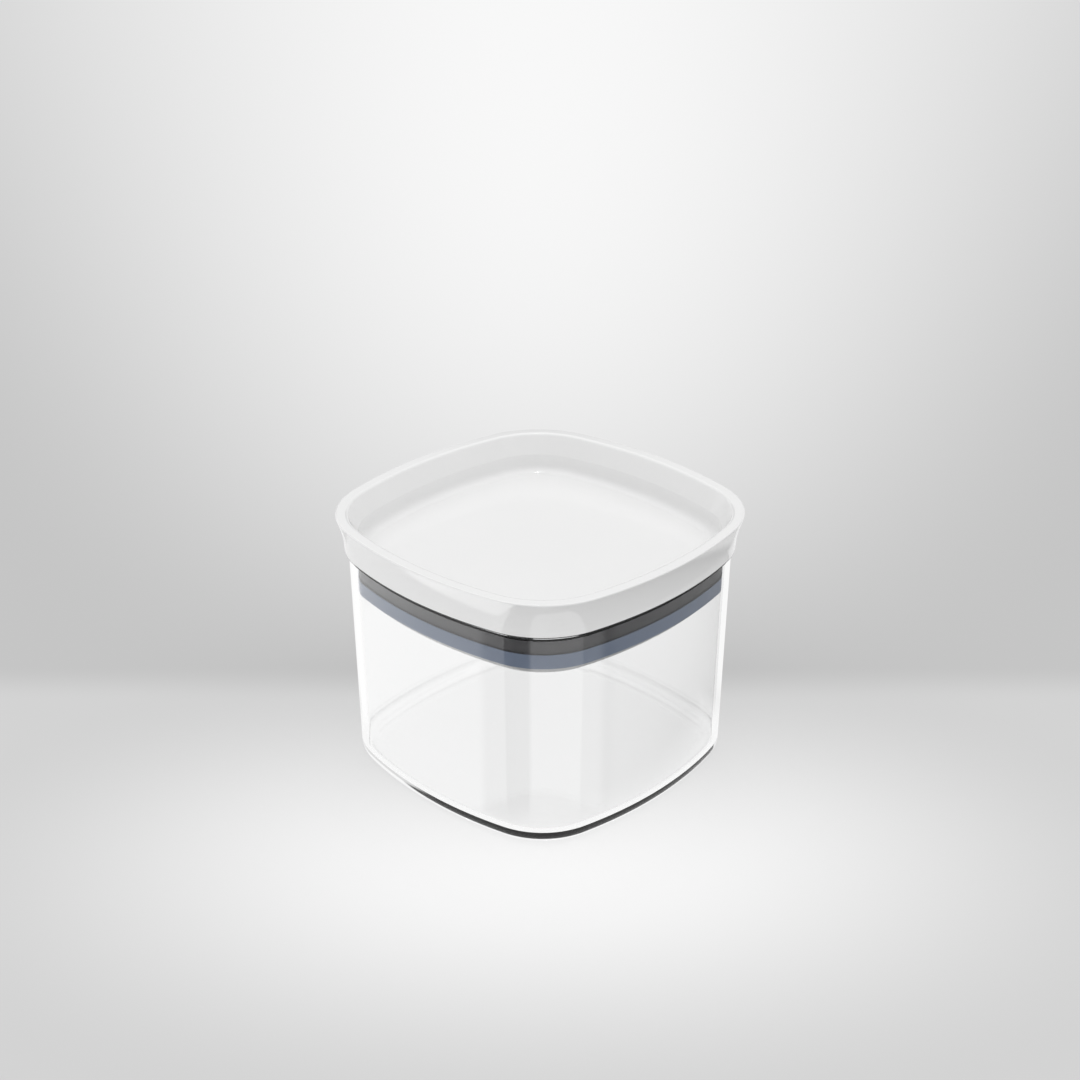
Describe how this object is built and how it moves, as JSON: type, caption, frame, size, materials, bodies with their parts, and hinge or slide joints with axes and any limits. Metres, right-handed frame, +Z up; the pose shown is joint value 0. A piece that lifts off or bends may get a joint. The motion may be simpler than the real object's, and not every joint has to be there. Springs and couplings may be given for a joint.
{
  "type": "lidded canister",
  "caption": "Square clear canister with bowed sides and a white push-in lid, dished on top for stacking and closed by a rubber ring.",
  "frame": {"origin": "centre of the base, on the surface that the canister stands on", "axes": "+Z up through the lid, X and Y across the flats of the square"},
  "size_m": [0.108, 0.108, 0.0821],
  "materials": {
    "clear_body": "polished, clear",
    "white_lid": "glossy white",
    "seal_rubber": "satin blue-grey"
  },
  "bodies": {
    "canister": {"canister_body": "clear_body"},
    "lid": {"lid": "white_lid", "lid_seal": "seal_rubber"}
  },
  "joints": [
    {"name": "lid_lift", "type": "slide", "parent": "canister", "child": "lid", "axis": [0, 0, 1], "range_m": [0, 0.06]}
  ]
}
